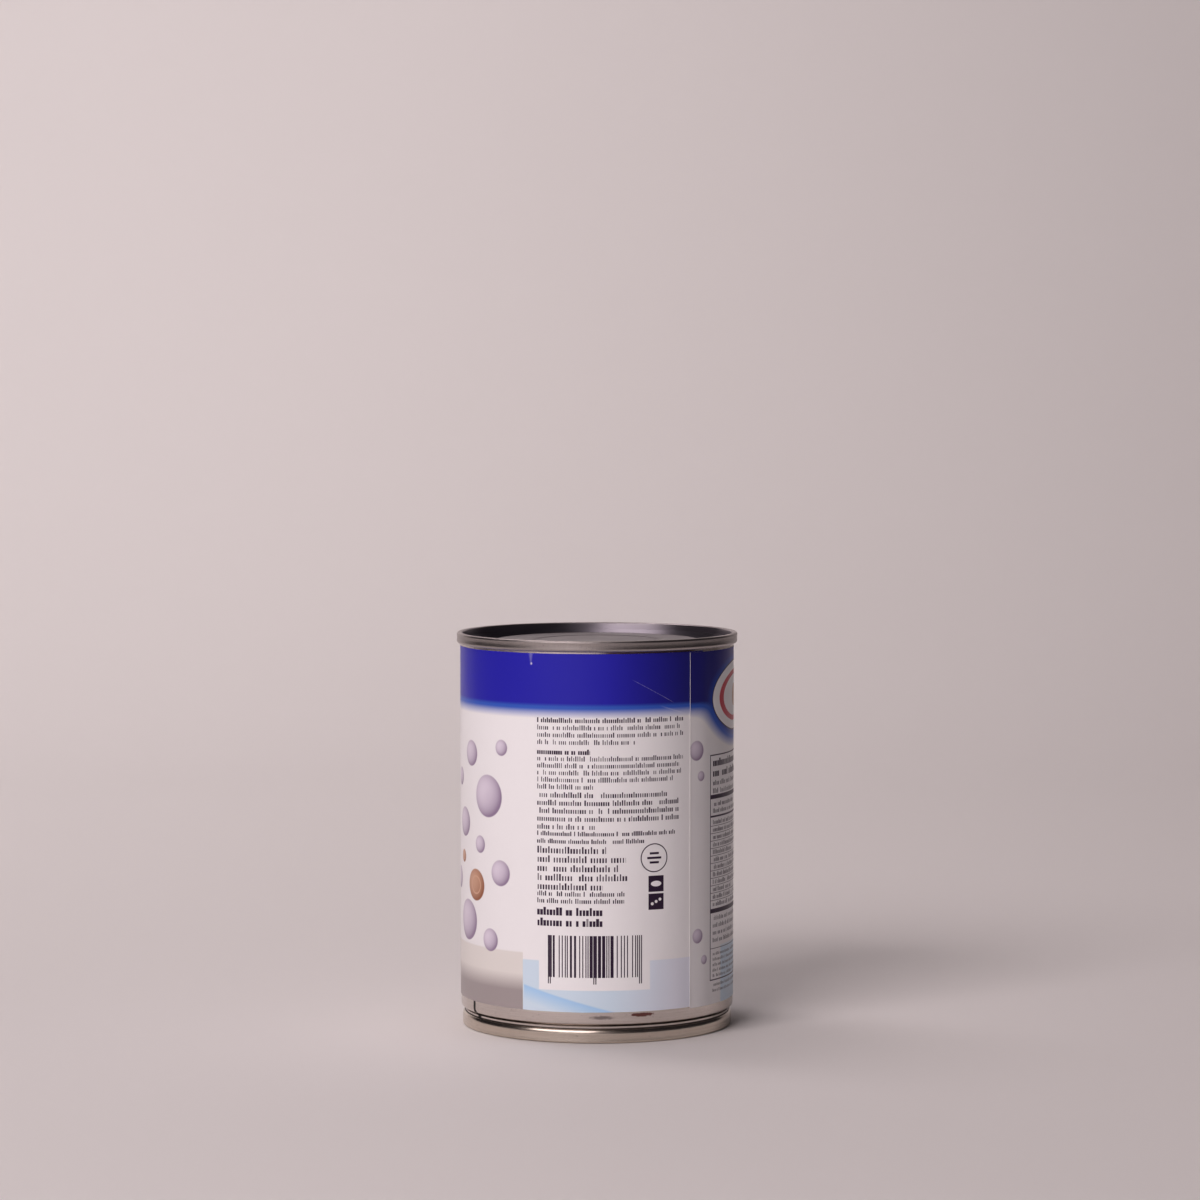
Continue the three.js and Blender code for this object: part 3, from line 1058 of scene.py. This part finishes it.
def body_tin():
    """The body's tin: spots on the foot, painted shade on the shoulder, in the crevice and on the right
    end, painted shadow under the lid's seam, and the weld.
    """
    material, shader, place, tone = tin("body_tin", BODY_TIN, BODY_TIN_STREAK, 0.1, 0.2)
    rust = stain_at(place, *RUST_SPOT)
    smear = stain_at(place, *SMEAR_SPOT)
    tone = mixed(rust * 0.9, tone, RUST)
    tone = mixed(smear * 0.7, tone, SMEAR)
    angle, z = angle_and_height(place)
    # Painted shade on the shoulder over the neck
    under_shoulder = between(z, 4.35, 5.15, 0.35)
    tone = mixed(under_shoulder * 0.3, tone, SHOULDER_SHADE)
    # Painted shade in the crevice inside the foot's seam
    tone = mixed(below(z, 3.85, 0.2) * 0.9, tone, CREVICE_SHADE)
    # Painted shade on the right end of the foot strip
    tone = mixed(between(angle, SHADE_FROM, SHADE_TO, 22) * 0.6, tone, SHADED_SIDE)
    # Painted shadow under the lid's seam, at the front
    under_lid = above(z, CAN_HEIGHT / 2) * between(angle, 3, 44, 5)
    tone = mixed(under_lid * 0.85, tone, SEAM_SHADOW)
    tone = mixed(weld_share(place, angle, z), tone, WELD)
    feed(shader.inputs["Base Color"], tone)
    return material


def foot_tin():
    """The tin of the foot's seam, with painted shade in the groove over it and on its right end."""
    material, shader, place, tone = tin("foot_tin", FOOT_TIN, FOOT_TIN_STREAK, 0.13, 0.22)
    angle, z = angle_and_height(place)
    # Painted shade in the groove over the seam
    groove = between(z, FOOT_SEAM_HEIGHT - 0.05, 4, 0.1)
    tone = mixed(groove * 0.85, tone, CREVICE_SHADE)
    # Painted shade on the seam's right end
    tone = mixed(between(angle, SHADE_FROM + 3, SHADE_TO, 16) * 0.5, tone, SHADED_SIDE)
    feed(shader.inputs["Base Color"], tone)
    return material


def lid_tin():
    """The lid's tin: plain on the seam, with painted shade that makes the wall inside it darker and bluer
    and the panel darker still.
    """
    material, shader, place, tone = tin("lid_tin", LID_TIN, LID_TIN_STREAK, 0.24, 0.34)
    grain = noise(place, (2.6, 0.05, 0.4), 4, 0.6)
    tone = mixed(grain.math("MULTIPLY_ADD", 1.5, -0.4, clamp=True) * 0.35, tone, LID_GRAIN)
    flat = place.vector("MULTIPLY", (1, 1, 0)).vector("LENGTH", output=1)
    # Painted shade on the chuck wall
    tone = mixed(below(flat, 36.2, 0.5) * 0.85, tone, CHUCK_WALL_SHADE)
    # Painted shade on the panel
    tone = mixed(below(flat, 34.3, 0.6) * 0.65, tone, LID_PANEL_SHADE)
    feed(shader.inputs["Base Color"], tone)
    return material


# The room

LIGHT_TINT = (1.0, 0.905, 0.915)
CAN_MIDDLE = (0, 0, 0.05)
GLOW_TOWARDS = (-0.4, -0.895, 0.2)
GLOW = (0.6, 0.545, 0.55)
DARK_ROOM = (0.027, 0.024, 0.027)


def around(azimuth, elevation, distance):
    """A place round the can's middle: azimuth from the front, elevation over the level."""
    turn, rise = math.radians(azimuth), math.radians(elevation)
    level = distance * math.cos(rise)
    return (level * math.sin(turn), -level * math.cos(turn), CAN_MIDDLE[2] + distance * math.sin(rise))


def look_at(item, place, target):
    item.location = place
    item.rotation_euler = (Vector(target) - Vector(place)).to_track_quat("-Z", "Y").to_euler()


def soft_light(name, place, target, width, height, power, lights="all"):
    """A flat light. It can light dull surfaces only, or only show in shiny ones."""
    light = bpy.data.lights.new(name, "AREA")
    light.shape = "RECTANGLE"
    light.size = width
    light.size_y = height
    light.energy = power
    light.color = LIGHT_TINT
    item = bpy.data.objects.new(name, light)
    item.visible_glossy = lights != "dull"
    item.visible_diffuse = lights != "shiny"
    bpy.context.scene.collection.objects.link(item)
    look_at(item, place, target)


def backdrop():
    """A pale sheet: floor in front, then a wide curve up into a wall behind, with painted shade that
    darkens it towards the right and upwards.
    """
    turn, wall = 0.9, 1.5
    left, right, front = -1.3, 1.2, -2.6
    way = [(front, 0.0), (0.0, 0.0), (wall - turn, 0.0)]
    bends = np.radians(range(4, 91, 4))
    way += [(wall - turn + turn * math.sin(a), turn - turn * math.cos(a)) for a in bends]
    way += [(wall, 1.6), (wall, 3.6)]
    places = [(x, y, z - 0.0001) for y, z in way for x in (left, right)]
    faces = [(2 * i, 2 * i + 1, 2 * i + 3, 2 * i + 2) for i in range(len(way) - 1)]
    mesh = bpy.data.meshes.new("backdrop")
    mesh.from_pydata(places, [], faces)
    mesh.shade_smooth()
    material, tree = new_material("backdrop_paper")
    coordinates = tree.nodes.new("ShaderNodeTexCoord")
    place = Value(tree, coordinates.outputs["Object"])
    # Painted shade: the sheet darkens towards the right and with height
    across = place.vector("DOT_PRODUCT", (1, 0, 0), output=1).math("MULTIPLY_ADD", 1.2, 0.5, clamp=True)
    colour = mixed(across, (0.84, 0.815, 0.8), (0.71, 0.685, 0.675))
    up = place.vector("DOT_PRODUCT", (0, 0, 1), output=1).math("MULTIPLY", 0.7, clamp=True)
    colour = mixed(up, colour, (0.6, 0.58, 0.57))
    colour = mixed(noise(place, (3, 3, 3), 3) * 0.06, colour, (0.5, 0.48, 0.47))
    shader = principled(tree, 0.75, 0.0, colour)
    bumped(shader, noise(place, (900, 900, 900), 3), 0.05, 0.4)
    mesh.materials.append(material)
    sheet = bpy.data.objects.new("backdrop", mesh)
    bpy.context.scene.collection.objects.link(sheet)


def room_light():
    """A dark room, with a glow from the front and left."""
    world = bpy.data.worlds.new("room")
    world.use_nodes = True
    tree = world.node_tree
    tree.nodes.clear()
    coordinates = tree.nodes.new("ShaderNodeTexCoord")
    direction = Value(tree, coordinates.outputs["Generated"])
    towards = direction.vector("DOT_PRODUCT", GLOW_TOWARDS, output=1)
    colour = mixed(towards.math("MAXIMUM", 0.0).math("POWER", 8.0), DARK_ROOM, GLOW)
    light = tree.nodes.new("ShaderNodeBackground")
    output = tree.nodes.new("ShaderNodeOutputWorld")
    feed(light.inputs["Color"], colour)
    tree.links.new(light.outputs[0], output.inputs["Surface"])
    bpy.context.scene.world = world


def lights():
    soft_light("key", around(-31.5, 33, 1.6), CAN_MIDDLE, 0.9, 0.6, 14.7, "dull")
    soft_light("key_shine", around(-32, 31, 1.6), CAN_MIDDLE, 1.6, 0.9, 7.4, "shiny")
    soft_light("top", (-0.2, 0.1, 1.8), (-0.2, 0.1, 0), 1.2, 1.2, 3.0)
    soft_light("wash", (-0.45, 0.45, 1.15), (0.35, 1.5, 0.4), 0.8, 0.8, 6)


CAMERA_PLACE = (0.0008, -1.09646, 0.18143)
CAMERA_PITCH = 3.5338
CAMERA_LENS = 122.97


def camera():
    data = bpy.data.cameras.new("camera")
    data.lens = CAMERA_LENS
    data.sensor_width = 36
    item = bpy.data.objects.new("camera", data)
    item.location = CAMERA_PLACE
    item.rotation_euler = (math.radians(90 - CAMERA_PITCH), 0, 0)
    bpy.context.scene.collection.objects.link(item)
    bpy.context.scene.camera = item


camera()
body_piece(body_tin())
end_piece("lid", "top_end", TOP_SEAM_RADIUS, TOP_SEAM_HEIGHT, BODY_RADIUS, lid_tin(), True)
end_piece("foot_end", "bottom_end", FOOT_SEAM_RADIUS, FOOT_SEAM_HEIGHT, NECK_RADIUS, foot_tin(), False)
label_piece(printed_paper(), bare_paper())
backdrop()
room_light()
lights()
bpy.context.scene.view_settings.view_transform = "Standard"
bpy.context.scene.view_settings.look = "Medium High Contrast"
